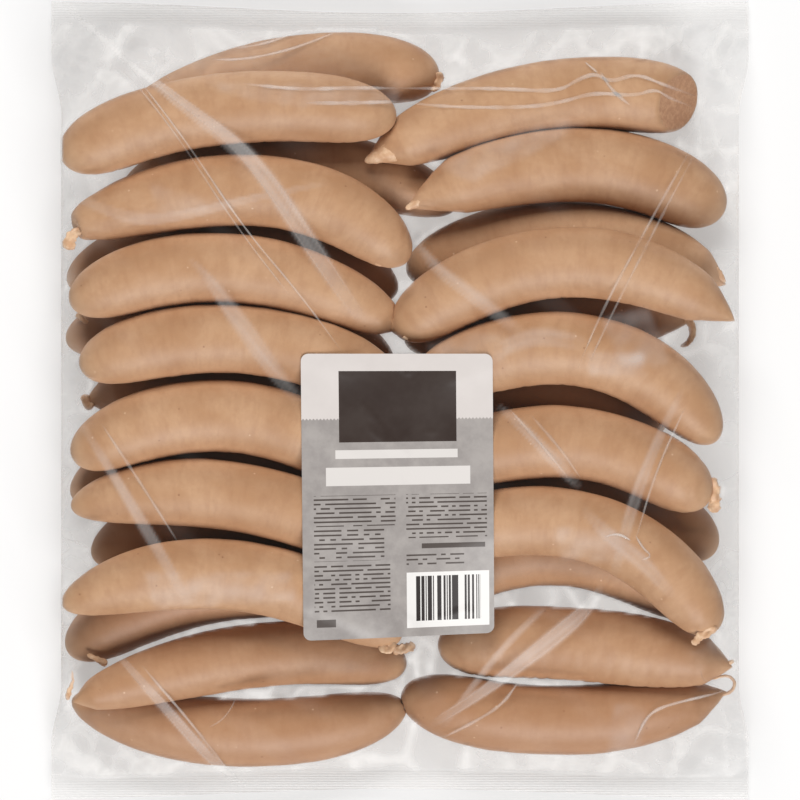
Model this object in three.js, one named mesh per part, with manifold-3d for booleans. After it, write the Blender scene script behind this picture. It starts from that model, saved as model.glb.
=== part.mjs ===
import * as THREE from "three";
import { mergeVertices } from "three/addons/utils/BufferGeometryUtils.js";
import Module from "manifold-3d";

const wasm = await Module();
wasm.setup();

// A clear sealed bag of sausages lying on its back, in millimetres.
// +X runs across the bag, +Y to its upper sealed end and +Z up from the floor it lies on.
// The origin is the middle of the bag's outline, on the floor.

// Outline of the bag
const HALF_LENGTH = 208;
const CORNER_HALF_WIDTH = 182;
const WAIST_HALF_WIDTH = 176;
const FLARE_FULL = 28;
const FLARE_GONE = 60;
const UPPER_END_DIP = 6;
const LOWER_END_DIP = 5;
const DIP_REACH = 50;

// Seals and film
const SEAL_WIDTH = 12;
const SEAL_HEIGHT = 5;
const SIDE_FOLD_HEIGHT = 27;
const SIDE_FOLD_RISE = 75;
const EDGE_THICKNESS = 0.8;
const FILM_SAG = 0.12;
const RELAX_STEPS = 300;

// Fill between the sausages, which lies lower than their crowns
const FILL_SAG = 1.2;
const FILL_BELOW_CROWNS = 9;
const UNDERSIDE_HEIGHT = 1.5;
const PAD_FADE = 14;

// Grid of the film, with its lines closer together along the edges
const COLUMNS = 20;
const ROWS = 44;
const COLUMN_CROWDING = 0.35;
const ROW_CROWDING = 0.1;

// Sausages
const RINGS = 9;
const SIDES = 10;
const SAMPLES = 32;
const SQUASH = 0.92;
const SUPPORT_LEFT = 0.3;
const SUPPORT_RIGHT = 0.7;
const FLOOR_PRESS = 1.2;

// Label
const LABEL_CORNERS = [[-51.5, 24], [-50, -125], [49, -121], [48, 24]];
const LABEL_CORNER_RADIUS = 4;
const LABEL_THICKNESS = 0.5;
const LABEL_GAP = 0.35;
const LABEL_SEAT = 0.02;

// Colours
const SAUSAGE_COLOUR = 0xc29a78;
const LABEL_COLOUR = 0xc9c6c4;

// Each row is one sausage: the X and Y of its left and right tips, how far its middle bulges
// towards +Y, where along it the bulge peaks, its diameter, and how blunt its two ends are
// (2 is an ellipse, 8 is nearly cut square). These lie on the floor.
const ON_FLOOR = [
  [-150, 137, 20, 166, 18, 0.6, 37, 3, 6],
  [-145, 106, 29, 100, 20, 0.5, 36.5, 4, 3],
  [-173, 60, -2, 55, 25, 0.5, 35.5, 4, 4],
  [-174, 30, -4, 17, 19, 0.5, 35.5, 4, 4],
  [-164, -1, -18, -14, 15, 0.5, 35.5, 3, 4],
  [-171, -51, -4, -58, 26, 0.45, 35.5, 4, 4],
  [-160, -83, 0, -86, 24, 0.45, 35.5, 4, 4],
  [-173, -133, -4, -107, 20, 0.5, 37.5, 5, 3],
  [-171, -156, 3, -159, -16, 0.53, 35.5, 2.6, 3.5],
  [4, 65, 170, 60, 23, 0.5, 36.5, 4, 2.6],
  [3, 29, 150, 40, 16, 0.5, 35.5, 4, 3.5],
  [-12, -10, 138, -15, 19, 0.5, 35.5, 4, 5],
  [3, -61, 164, -80, 26, 0.5, 35.5, 4, 6],
  [2, -110, 158, -112, 32, 0.48, 35.5, 4, 4],
  [1, -152, 170, -152, -15, 0.47, 36.5, 5, 2.5],
];

// These lie on the ones above.
const ON_OTHERS = [
  [-176, 123, -2, 146, 14, 0.5, 37.5, 6, 5],
  [-175, 87, 3, 71, 32, 0.63, 38, 3, 5],
  [-171, 49, 1, 37, 25, 0.45, 36.5, 5, 2.8],
  [-166, 16, 0, 5, 21, 0.48, 36, 5, 4],
  [-170, -31, -2, -47, 30, 0.48, 37.5, 5, 4],
  [-171, -56, -4, -82, 19, 0.5, 36, 2.6, 4],
  [-176, -107, 0, -125, 25, 0.5, 37, 2.6, 3.5],
  [-170, -157, 3, -140, 16, 0.55, 34.5, 3.2, 5],
  [-17, 125, 155, 152, 17, 0.6, 37.5, 2.3, 8],
  [4, 100, 168, 96, 25, 0.56, 39.5, 2.3, 6],
  [-2, 34, 174, 41, 33, 0.5, 37.5, 6, 2.6],
  [6, 6, 163, -23, 34, 0.58, 39.5, 4, 4],
  [2, -42, 160, -55, 24, 0.56, 38.5, 4, 6],
  [2, -78, 163, -122, 34, 0.55, 36.5, 4, 6],
  [20, -130, 173, -139, 7, 0.35, 38, 5, 2.8],
];

function smoothstep(from, to, value) {
  return THREE.MathUtils.smoothstep(value, from, to);
}

// A sausage's centre line is one quadratic curve between its tips, level to begin with.
function makeSausage([leftX, leftY, rightX, rightY, bulge, peak, diameter, leftBlunt, rightBlunt]) {
  const left = new THREE.Vector3(leftX, leftY, 0);
  const right = new THREE.Vector3(rightX, rightY, 0);
  const chord = right.clone().sub(left);
  const outward = new THREE.Vector3(-chord.y, chord.x, 0).normalize();
  const control = left.clone().addScaledVector(chord, peak).addScaledVector(outward, 2 * bulge);
  const curve = new THREE.QuadraticBezierCurve3(left, control, right);
  const sausage = { curve, diameter, leftBlunt, rightBlunt, leftHeight: 0, rightHeight: 0 };
  sausage.samples = [];
  for (let k = 0; k <= SAMPLES; k++) {
    const along = k / SAMPLES;
    const point = curve.getPointAt(along);
    sausage.samples.push({ along, x: point.x, y: point.y, radius: radiusAt(sausage, along), z: 0 });
  }
  return sausage;
}

// The radius keeps up along the middle and closes in at both tips.
function radiusAt(sausage, along) {
  const fromMiddle = 2 * along - 1;
  const blunt = fromMiddle < 0 ? sausage.leftBlunt : sausage.rightBlunt;
  return (sausage.diameter / 2) * Math.sqrt(Math.max(0, 1 - Math.abs(fromMiddle) ** blunt));
}

function setHeights(sausage, leftHeight, rightHeight) {
  sausage.leftHeight = leftHeight;
  sausage.rightHeight = rightHeight;
  for (const sample of sausage.samples) {
    sample.z = THREE.MathUtils.lerp(leftHeight, rightHeight, sample.along);
  }
}

// How high one point of a sausage has to lie to clear the floor and the sausages under it.
function heightNeeded(point, lower) {
  let needed = point.radius;
  for (const other of lower) {
    for (const sample of other.samples) {
      const reach = SQUASH * (point.radius + sample.radius);
      const gapSquared = (point.x - sample.x) ** 2 + (point.y - sample.y) ** 2;
      if (gapSquared < reach ** 2) {
        needed = Math.max(needed, sample.z + Math.sqrt(reach ** 2 - gapSquared));
      }
    }
  }
  return needed;
}

// A sausage comes to rest on two points, one towards each end: the pair that holds its middle
// highest.
function settle(sausage, lower) {
  const needed = sausage.samples.map((sample) => ({ along: sample.along, z: heightNeeded(sample, lower) }));
  let best = null;
  for (const first of needed.filter((entry) => entry.along <= SUPPORT_LEFT)) {
    for (const second of needed.filter((entry) => entry.along >= SUPPORT_RIGHT)) {
      const slope = (second.z - first.z) / (second.along - first.along);
      const middle = first.z + slope * (0.5 - first.along);
      if (best === null || middle > best.middle) {
        best = { middle, slope };
      }
    }
  }
  setHeights(sausage, best.middle - best.slope / 2, best.middle + best.slope / 2);
}

function fillBag() {
  const floorLayer = ON_FLOOR.map(makeSausage);
  for (const sausage of floorLayer) {
    const height = sausage.diameter / 2 - FLOOR_PRESS;
    setHeights(sausage, height, height);
  }
  const upperLayer = ON_OTHERS.map(makeSausage);
  for (const sausage of upperLayer) {
    settle(sausage, floorLayer);
  }
  return [...floorLayer, ...upperLayer];
}

// The top and the underside of the sausages above and below one spot of the floor.
function pileAt(x, y, sausages) {
  let top = -Infinity;
  let bottom = Infinity;
  for (const sausage of sausages) {
    let nearest = null;
    let nearestSquared = Infinity;
    for (const sample of sausage.samples) {
      const distanceSquared = (x - sample.x) ** 2 + (y - sample.y) ** 2;
      if (distanceSquared < nearestSquared) {
        nearestSquared = distanceSquared;
        nearest = sample;
      }
    }
    const heightSquared = nearest.radius ** 2 - nearestSquared;
    if (heightSquared > 0) {
      top = Math.max(top, nearest.z + Math.sqrt(heightSquared));
      bottom = Math.min(bottom, nearest.z - Math.sqrt(heightSquared));
    }
  }
  return { top, bottom };
}

function crowd(fraction, crowding) {
  return fraction * (1 - crowding) + Math.sin((fraction * Math.PI) / 2) * crowding;
}

// The outline is straight along its waist and flares out to the corners, and both ends dip in.
function outlinePoint(column, row) {
  const across = crowd((2 * column) / COLUMNS - 1, COLUMN_CROWDING);
  const along = crowd((2 * row) / ROWS - 1, ROW_CROWDING);
  const fromEnd = HALF_LENGTH * (1 - Math.abs(along));
  const flare = 1 - smoothstep(FLARE_FULL, FLARE_GONE, fromEnd);
  const halfWidth = WAIST_HALF_WIDTH + (CORNER_HALF_WIDTH - WAIST_HALF_WIDTH) * flare;
  const dip = (along > 0 ? UPPER_END_DIP : LOWER_END_DIP) * Math.cos((across * Math.PI) / 2) ** 2;
  const dipShare = 1 - smoothstep(0, DIP_REACH, fromEnd);
  const y = along * HALF_LENGTH - Math.sign(along) * dip * dipShare;
  const sideFold = smoothstep(SEAL_WIDTH, SIDE_FOLD_RISE, fromEnd);
  return {
    x: across * halfWidth,
    y,
    fromEnd,
    edgeHeight: SEAL_HEIGHT + (SIDE_FOLD_HEIGHT - SEAL_HEIGHT) * sideFold,
  };
}

// The grid of the bag's outline, with the top and underside of what lies in it.
function layGrid(sausages) {
  const grid = [];
  for (let column = 0; column <= COLUMNS; column++) {
    grid.push([]);
    for (let row = 0; row <= ROWS; row++) {
      const node = outlinePoint(column, row);
      node.held = column === 0 || column === COLUMNS || node.fromEnd < SEAL_WIDTH;
      node.pile = pileAt(node.x, node.y, sausages);
      grid[column].push(node);
    }
  }
  return grid;
}

// A skin is held along its edges and drawn over what lies under it: each free node takes the
// mean height of those around it, less a sag, and never passes its own limit.
function drape(grid, edgeOf, limitOf, sag) {
  const heights = grid.map((column) => column.map(edgeOf));
  for (let step = 0; step < RELAX_STEPS; step++) {
    for (let column = 1; column < COLUMNS; column++) {
      for (let row = 1; row < ROWS; row++) {
        if (!grid[column][row].held) {
          const mean = (heights[column - 1][row] + heights[column + 1][row]
            + heights[column][row - 1] + heights[column][row + 1]) / 4;
          heights[column][row] = limitOf(grid[column][row], mean - sag);
        }
      }
    }
  }
  return heights;
}

function drapeAll(grid) {
  const upperEdge = (node) => node.edgeHeight + EDGE_THICKNESS / 2;
  const lowerEdge = (node) => node.edgeHeight - EDGE_THICKNESS / 2;
  const film = drape(grid, upperEdge, (node, z) => Math.max(node.pile.top, z), FILM_SAG);
  const fill = drape(grid, upperEdge, (node, z) => Math.max(node.pile.top - FILL_BELOW_CROWNS, z), FILL_SAG);
  const under = drape(grid, lowerEdge, (node, z) => Math.max(0, Math.min(node.pile.bottom, z)), 0);
  grid.forEach((column, i) => column.forEach((node, j) => {
    const pad = 1 - smoothstep(0, PAD_FADE, distanceToLabel(node));
    node.bottom = node.held ? under[i][j] : Math.max(UNDERSIDE_HEIGHT, under[i][j]);
    const filled = Math.max(fill[i][j], node.bottom + EDGE_THICKNESS);
    node.top = THREE.MathUtils.lerp(filled, film[i][j], pad);
  }));
}

// How far a node lies outside the label's rectangle, less a cell, or 0 under it.
function distanceToLabel(node) {
  const [leftEdge, upperEdge] = LABEL_CORNERS[0];
  const [rightEdge, lowerEdge] = LABEL_CORNERS[2];
  const cell = (2 * HALF_LENGTH) / ROWS;
  const beyondX = Math.max(leftEdge - node.x, node.x - rightEdge, 0);
  const beyondY = Math.max(lowerEdge - node.y, node.y - upperEdge, 0);
  return Math.max(0, Math.hypot(beyondX, beyondY) - cell);
}

// A solid over the film's grid, between two heights that are worked out at each node. Both of
// its faces are split into triangles alike.
function sheetSolid(grid, topOf, bottomOf) {
  const plane = new THREE.PlaneGeometry(1, 1, COLUMNS, ROWS);
  const flat = plane.getAttribute("position");
  const upper = plane.getIndex().array;
  const positions = [];
  for (const heightOf of [topOf, bottomOf]) {
    for (let k = 0; k < flat.count; k++) {
      const column = Math.round((flat.getX(k) + 0.5) * COLUMNS);
      const row = Math.round((flat.getY(k) + 0.5) * ROWS);
      const node = grid[column][row];
      positions.push(node.x, node.y, heightOf(node));
    }
  }
  const triangles = Array.from(upper);
  for (let k = 0; k < upper.length; k += 3) {
    triangles.push(upper[k] + flat.count, upper[k + 2] + flat.count, upper[k + 1] + flat.count);
  }
  const rim = rimOf(COLUMNS + 1, ROWS + 1);
  rim.forEach((here, k) => {
    const next = rim[(k + 1) % rim.length];
    triangles.push(here, here + flat.count, next + flat.count);
    triangles.push(here, next + flat.count, next);
  });
  const geometry = new THREE.BufferGeometry();
  geometry.setAttribute("position", new THREE.Float32BufferAttribute(positions, 3));
  geometry.setIndex(triangles);
  return solidOf(geometry);
}

// The vertices round a plane's edge, anticlockwise from its lower left corner. A plane counts
// its vertices from left to right, and its rows from the top down.
function rimOf(across, down) {
  const rim = [];
  for (let i = 0; i < across - 1; i++) {
    rim.push((down - 1) * across + i);
  }
  for (let j = down - 1; j > 0; j--) {
    rim.push(j * across + across - 1);
  }
  for (let i = across - 1; i > 0; i--) {
    rim.push(i);
  }
  for (let j = 0; j < down - 1; j++) {
    rim.push(j * across);
  }
  return rim;
}

// A turned profile from tip to tip, bent along the sausage's centre line.
function sausageSolid(sausage) {
  const profile = [];
  for (let ring = 0; ring <= RINGS; ring++) {
    const along = (1 - Math.cos((Math.PI * ring) / RINGS)) / 2;
    profile.push(new THREE.Vector2(radiusAt(sausage, along), along));
  }
  const geometry = new THREE.LatheGeometry(profile, SIDES);
  const position = geometry.getAttribute("position");
  for (let k = 0; k < position.count; k++) {
    const along = THREE.MathUtils.clamp(position.getY(k), 0, 1);
    const centre = sausage.curve.getPointAt(along);
    const forward = sausage.curve.getTangentAt(along);
    const height = THREE.MathUtils.lerp(sausage.leftHeight, sausage.rightHeight, along);
    position.setXYZ(
      k,
      centre.x + position.getX(k) * forward.y,
      centre.y - position.getX(k) * forward.x,
      height + position.getZ(k),
    );
  }
  return solidOf(geometry);
}

// A rounded four-cornered prism over the label's corners, grown by a margin.
function labelPrism(margin, lowest, highest) {
  const middleX = LABEL_CORNERS.reduce((sum, corner) => sum + corner[0], 0) / LABEL_CORNERS.length;
  const middleY = LABEL_CORNERS.reduce((sum, corner) => sum + corner[1], 0) / LABEL_CORNERS.length;
  const corners = LABEL_CORNERS.map(([x, y]) => new THREE.Vector2(
    x + Math.sign(x - middleX) * margin,
    y + Math.sign(y - middleY) * margin,
  ));
  const outline = new THREE.Shape();
  corners.forEach((corner, index) => {
    const before = corners[(index + corners.length - 1) % corners.length];
    const after = corners[(index + 1) % corners.length];
    const start = corner.clone().add(before.clone().sub(corner).setLength(LABEL_CORNER_RADIUS));
    const end = corner.clone().add(after.clone().sub(corner).setLength(LABEL_CORNER_RADIUS));
    if (index === 0) {
      outline.moveTo(start.x, start.y);
    } else {
      outline.lineTo(start.x, start.y);
    }
    outline.quadraticCurveTo(corner.x, corner.y, end.x, end.y);
  });
  const geometry = new THREE.ExtrudeGeometry(outline, {
    depth: highest - lowest,
    bevelEnabled: false,
    curveSegments: 4,
  });
  geometry.translate(0, 0, lowest);
  return solidOf(geometry);
}

function solidOf(geometry) {
  const bare = geometry.clone();
  bare.deleteAttribute("normal");
  bare.deleteAttribute("uv");
  const merged = mergeVertices(bare, 1e-4);
  return new wasm.Manifold(new wasm.Mesh({
    numProp: 3,
    vertProperties: new Float32Array(merged.getAttribute("position").array),
    triVerts: new Uint32Array(merged.getIndex().array),
  }));
}

function meshOf(solid, name, material) {
  const mesh = solid.getMesh();
  const geometry = new THREE.BufferGeometry();
  geometry.setAttribute("position", new THREE.BufferAttribute(mesh.vertProperties, mesh.numProp));
  geometry.setIndex(new THREE.BufferAttribute(mesh.triVerts, 1));
  geometry.computeVertexNormals();
  const named = new THREE.Mesh(geometry, material);
  named.name = name;
  return named;
}

function floorSlab() {
  const depth = 50;
  const slab = new THREE.BoxGeometry(3 * CORNER_HALF_WIDTH, 3 * HALF_LENGTH, depth);
  slab.translate(0, 0, -depth / 2);
  return solidOf(slab);
}

const sausages = fillBag();
const grid = layGrid(sausages);
drapeAll(grid);
const aboveAll = 2 * Math.max(...grid.flat().map((node) => node.top));

// The bag: film and sausages fused, flat where they press on the floor and under the label
let bag = sheetSolid(grid, (node) => node.top, (node) => node.bottom);
for (const sausage of sausages) {
  bag = bag.add(sausageSolid(sausage));
}
const aboveSeat = sheetSolid(grid, () => aboveAll, (node) => node.top + LABEL_SEAT);
bag = bag.subtract(aboveSeat.intersect(labelPrism(LABEL_GAP, 0, aboveAll)));
bag = bag.subtract(floorSlab());

// The label: a sheet that follows the film, a hair above it
const labelSheet = sheetSolid(
  grid,
  (node) => node.top + LABEL_GAP + LABEL_THICKNESS,
  (node) => node.top + LABEL_GAP,
);
const label = labelSheet.intersect(labelPrism(0, 0, aboveAll));

const bagOfSausages = new THREE.Group();
bagOfSausages.name = "bag_of_sausages";
bagOfSausages.add(meshOf(bag, "bag", new THREE.MeshStandardMaterial({
  color: SAUSAGE_COLOUR,
  roughness: 0.35,
  metalness: 0,
})));
bagOfSausages.add(meshOf(label, "label", new THREE.MeshStandardMaterial({
  color: LABEL_COLOUR,
  roughness: 0.7,
  metalness: 0,
})));

export default bagOfSausages;
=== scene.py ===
import math

import bpy
import numpy as np
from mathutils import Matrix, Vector
from mathutils.bvhtree import BVHTree
from mathutils.kdtree import KDTree


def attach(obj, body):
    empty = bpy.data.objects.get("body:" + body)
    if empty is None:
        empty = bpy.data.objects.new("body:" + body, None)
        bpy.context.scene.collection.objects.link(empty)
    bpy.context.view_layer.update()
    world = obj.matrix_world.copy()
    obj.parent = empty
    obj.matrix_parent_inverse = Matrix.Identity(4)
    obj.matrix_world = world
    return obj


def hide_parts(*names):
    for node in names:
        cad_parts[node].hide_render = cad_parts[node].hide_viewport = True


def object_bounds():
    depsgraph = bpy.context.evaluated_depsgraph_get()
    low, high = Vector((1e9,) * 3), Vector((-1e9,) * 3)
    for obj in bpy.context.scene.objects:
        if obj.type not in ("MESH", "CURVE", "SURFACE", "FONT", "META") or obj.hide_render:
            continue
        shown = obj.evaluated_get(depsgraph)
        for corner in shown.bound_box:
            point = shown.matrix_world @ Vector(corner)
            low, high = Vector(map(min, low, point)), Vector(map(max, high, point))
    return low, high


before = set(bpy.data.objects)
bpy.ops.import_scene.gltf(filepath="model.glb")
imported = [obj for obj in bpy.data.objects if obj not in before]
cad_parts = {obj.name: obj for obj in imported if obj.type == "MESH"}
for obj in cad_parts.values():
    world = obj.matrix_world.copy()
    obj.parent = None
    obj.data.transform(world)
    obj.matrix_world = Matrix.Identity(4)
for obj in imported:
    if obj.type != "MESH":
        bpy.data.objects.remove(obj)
cad_low, cad_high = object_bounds()

DOWN = Vector((0, 0, -1))
UP = Vector((0, 0, 1))

# Sizes are in millimetres until a mesh is made, and this turns them into metres.
MM = 0.001

# Outline of the bag
HALF_LENGTH = cad_high.y / MM
CORNER_HALF_WIDTH = cad_high.x / MM
WAIST_HALF_WIDTH = 176.5
FLARE_FULL = 28
FLARE_GONE = 60
UPPER_END_DIP = 6
LOWER_END_DIP = 5
DIP_REACH = 50
SEAL_WIDTH = 12
SEAL_HEIGHT = 5
SIDE_FOLD_HEIGHT = 27
SIDE_FOLD_RISE = 75

# Film
FILM_COLUMNS = 256
FILM_ROWS = 288
COLUMN_CROWDING = 0.22
ROW_CROWDING = 0.05
FILM_CLEARANCE = 0.3
FILM_SAG = 0.0035
SEAL_GAP = 0.12
FLOOR_GAP = 0.05
NOTHING_THERE = 1000.0

# The film is draped on coarse grids first: how many times coarser, and how many rounds on each
DRAPING = ((8, 500), (4, 300), (2, 200), (1, 160))

# Crumpled film: the size of its facets and their seed, how high their edges stand, over what
# distances from an end and from the middle the margins are crumpled, and how high above the pile
# the film has to be
LARGE_FACETS = (24, 61)
SMALL_FACETS = (8, 65)
LARGE_FOLD = 1.3
SMALL_FOLD = 0.7
FACET_SHARPNESS = 5
FACET_BEND = 0.3
END_MARGIN = (35, 70)
SIDE_MARGIN = (90, 150)
PATCH_SIZE = 80
LOOSE_HEIGHT = 7
SMOOTH_RIM = 6

# Slow waves along the sealed ends: height, length and start
END_WAVES = ((1.4, 38, 0.7), (0.8, 17, 0))
END_WAVE_REACH = 30

# How cloudy the film is: where it is clear, on its underside, in its faint streaks, over empty
# space and in the seals, and what the edges and faces of its facets add. The faces add painted light
# and shade; the edges add partly the creases' own whitening, partly painted highlight.
CLEAR_HAZE = 0.005
UNDERSIDE_HAZE = 0.02
STREAK_HAZE = 0.014
STREAK_SLANT = ((0.57, 0.2), (0.82, -0.14))
EMPTY_HAZE = 0.13
SEAL_HAZE = 0.05
LARGE_HAZE = (0.32, 0.06)
SMALL_HAZE = (0.3, 0.07)

# Sausages
RINGS = 104
SIDES = 36
CURVE_STEPS = 400
AXIS_STEPS = 64
SUPPORT_STEPS = 32
SQUASH = 0.92
SUPPORT_LEFT = 0.3
SUPPORT_RIGHT = 0.7
FLOOR_PRESS = 1.2
LIFT = 0.4
CONTACT_GAP = 0.15
SIDE_LIMIT = 175.4

# Label
LABEL_CORNERS = ((-51.5, 24), (-50, -125), (49, -121), (48, 24))
LABEL_CORNER_RADIUS = 4
LABEL_GAP = 0.2
LABEL_THICKNESS = 0.25
LABEL_ACROSS = 90
LABEL_DOWN = 132

# The label's print, in millimetres from its lower left corner: left, bottom, right and top. Blocks
# of small type also have the pitch of their rows, the length of their words and a seed.
LABEL_WIDTH = 99.5
LABEL_HEIGHT = 148.0
FIELD_TOP = 113.6
FIELD_TOOTH = 0.9
DARK_FIELD = (19.5, 102.0, 80.5, 139.0)
PALE_BARS = ((17.5, 93.5, 81.0, 98.0), (12.5, 79.5, 87.5, 89.0))
DARK_BARS = ((62.0, 46.0, 95.0, 48.6), (7.0, 6.5, 17.0, 10.5))
TYPE_BLOCKS = (
    (6.0, 58.5, 48.5, 74.5, 2.3, 2.4, 1.0),
    (6.0, 40.5, 42.5, 57.0, 2.3, 2.9, 4.0),
    (6.0, 14.0, 45.5, 38.5, 2.3, 2.1, 6.0),
    (54.0, 51.5, 96.0, 74.5, 2.3, 1.9, 2.0),
    (54.0, 37.5, 84.0, 44.0, 2.3, 2.4, 3.0),
)
WHITE_FIELD = (54.0, 4.5, 97.0, 33.5)
UPRIGHT_BARS = (58.5, 8.0, 92.5, 31.5, 0.55, 5.0)

# Stage, light and camera, in metres. Each light has its name, place, size, power, and whether the
# bag shows its glints.
FLOOR_SIZE = 12.0
FLOOR_DROP = 0.0002
FLOOR_GLOW = 0.4
WORLD_STRENGTH = 0.12
LIGHTS = (
    ("far_end", (-0.3, 2.2, 1.9), 1.5, 81, False),
    ("near_end", (0.3, -2.2, 1.9), 1.5, 88, True),
)
FRAME_WIDTH = 0.416
FRAME_HEIGHT = 0.04
CAMERA_HEIGHT = 8.0

# Each sausage: the X and Y of its left and right tips, how far its middle bulges towards +Y,
# where along it the bulge peaks, its diameter, and how blunt its two ends are.
ON_FLOOR = {
    "left_floor_1": (-150, 137, 20, 166, 18, 0.6, 37, 3, 6),
    "left_floor_2": (-145, 106, 29, 100, 20, 0.5, 36.5, 4, 3),
    "left_floor_3": (-173, 60, -2, 55, 25, 0.5, 35.5, 4, 4),
    "left_floor_4": (-174, 30, -4, 17, 19, 0.5, 35.5, 4, 4),
    "left_floor_5": (-164, -1, -18, -14, 15, 0.5, 35.5, 3, 4),
    "left_floor_6": (-171, -51, -4, -58, 26, 0.45, 35.5, 4, 4),
    "left_floor_7": (-160, -83, 0, -86, 24, 0.45, 35.5, 4, 4),
    "left_floor_8": (-173, -132, -4, -106, 22, 0.5, 36, 5, 3),
    "left_floor_10": (-171, -156, 3, -159, -16, 0.53, 35.5, 2.6, 3.5),
    "right_floor_3": (4, 65, 170, 60, 23, 0.5, 36.5, 4, 2.6),
    "right_floor_4": (3, 29, 150, 40, 16, 0.5, 35.5, 4, 3.5),
    "right_floor_5": (-12, -10, 138, -15, 19, 0.5, 35.5, 4, 5),
    "right_floor_6": (3, -61, 164, -80, 26, 0.5, 35.5, 4, 6),
    "right_floor_7": (2, -110, 158, -112, 32, 0.48, 35.5, 4, 4),
    "right_floor_9": (1, -152, 170, -152, -15, 0.47, 36.5, 5, 2.5),
}
ON_OTHERS = {
    "left_upper_1": (-175.4, 124, -2, 146, 16.5, 0.44, 37, 6, 5),
    "left_upper_2": (-175, 88, 3, 71, 30.5, 0.66, 37.5, 2.5, 5),
    "left_upper_3": (-171, 49, 1, 37, 25, 0.45, 36.5, 5, 2.8),
    "left_upper_4": (-166, 16, 0, 5, 21, 0.48, 36, 5, 4),
    "left_upper_5": (-170, -31, -2, -47, 30, 0.48, 37.5, 5, 4),
    "left_upper_6": (-171, -56, -4, -82, 19, 0.5, 36, 2.6, 4),
    "left_upper_7": (-175.4, -107, 0, -125, 25, 0.5, 37, 2.6, 3.5),
    "left_floor_9": (-170, -157, 3, -140, 14.5, 0.66, 33.5, 2.1, 5),
    "right_floor_1": (-17, 125, 157, 152.5, 17, 0.6, 39, 2.3, 8),
    "right_floor_2": (4, 100, 168, 96, 25, 0.56, 39.5, 2.3, 6),
    "right_upper_1": (-2, 34, 174, 41, 34, 0.5, 37, 6, 2.6),
    "right_upper_2": (6, 6, 164, -22, 35, 0.58, 38, 4, 4),
    "right_upper_3": (2, -42, 160, -54, 26.5, 0.57, 37.5, 4, 6),
    "right_upper_4": (2, -78, 163, -121, 36, 0.56, 36, 4, 6),
    "right_floor_8": (20, -130, 173, -139, 7, 0.35, 38, 5, 2.8),
}

# Ends where the casing gathers into a pleated tip: sausage and end (0 left, 1 right), with the
# depth of the pleats
PLEATED_ENDS = {
    ("left_upper_2", 0): 2.4,
    ("left_upper_2", 1): 0.8,
    ("left_upper_3", 1): 0.6,
    ("left_upper_7", 0): 0.6,
    ("left_floor_5", 0): 0.8,
    ("left_floor_9", 0): 0.6,
    ("right_floor_1", 0): 1.4,
    ("right_floor_2", 0): 1.4,
    ("right_floor_3", 1): 0.8,
    ("right_upper_1", 1): 0.8,
    ("right_upper_3", 1): 0.8,
    ("right_upper_4", 1): 0.9,
    ("right_floor_8", 1): 0.7,
    ("right_floor_9", 1): 1.0,
}
SMOOTH_END_PLEATS = 0.15
PLEAT_REACH = 13
PLEAT_COUNT = 9
PLEAT_TWIST = 2.2

# Ends drawn out to a narrow tip, and over what length
PINCHED_ENDS = {
    ("left_upper_3", 1): 10,
    ("left_floor_5", 0): 16,
    ("left_floor_9", 0): 10,
    ("right_floor_1", 0): 20,
    ("right_floor_2", 0): 28,
    ("right_floor_3", 1): 16,
    ("right_floor_4", 1): 14,
    ("right_upper_1", 1): 22,
    ("right_floor_8", 1): 14,
    ("right_floor_9", 1): 18,
}
UNPINCHED = 0.01
PINCH_POWER = 0.4

# Sausages whose inner bend is ringed with fine wrinkles, and how deep these are
RINGED = {
    "left_upper_1": 0.12,
    "right_upper_1": 0.14,
    "right_upper_2": 0.16,
    "right_floor_8": 0.28,
}
FAINT_RINGS = 0.06
RING_SPACING = 8.5
RING_STRETCH = 0.3

# Noise on a sausage: its strength, the size of its waves and the first seed
SLOW_LUMPS = (0.28, 60, 100)
SMALL_LUMPS = (0.12, 17, 200)
RING_WANDER = (2.5, 30, 300)
PLEAT_WOBBLE = (0.5, 9, 400)

# Sausages with a tone of their own, from light to dark: painted shade, matched to how much light each
# gets where it lies. The others have the usual one, or the darker one of those that lie covered on the
# floor, which is painted shade under the upper layer.
TONES_AND_SHADE = {
    "left_floor_10": 0.55,
    "right_floor_9": 0.52,
    "left_floor_9": 0.32,
    "right_floor_8": 0.35,
    "left_floor_1": 0.12,
    "left_floor_2": 0.04,
    "right_floor_3": 0.0,
    "right_floor_7": 0.2,
}
USUAL_TONE = 0.06
COVERED_SHADE = 0.6

# Dents where the casing is tied in: the sausage, the middle of the dent (its height is above the
# axis at the left end), its reach and how far its middle is pushed in, to the right
DENTS = (
    ("left_upper_2", (-174, 88, 2), 7, 8),
)

# The one sausage with a cut end: how far back from its tip the cut's middle lies, and which way it
# faces
CUT_SAUSAGE = "right_floor_1"
CUT_BACK = 9
CUT_FACING = (0.80, -0.20, 0.56)
CUT_ROUGHNESS = ((0.35, 5, 11), (0.2, 2.2, 12))
CUT_RIM = 3
CUT_FACE_FROM = 0.3

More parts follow.
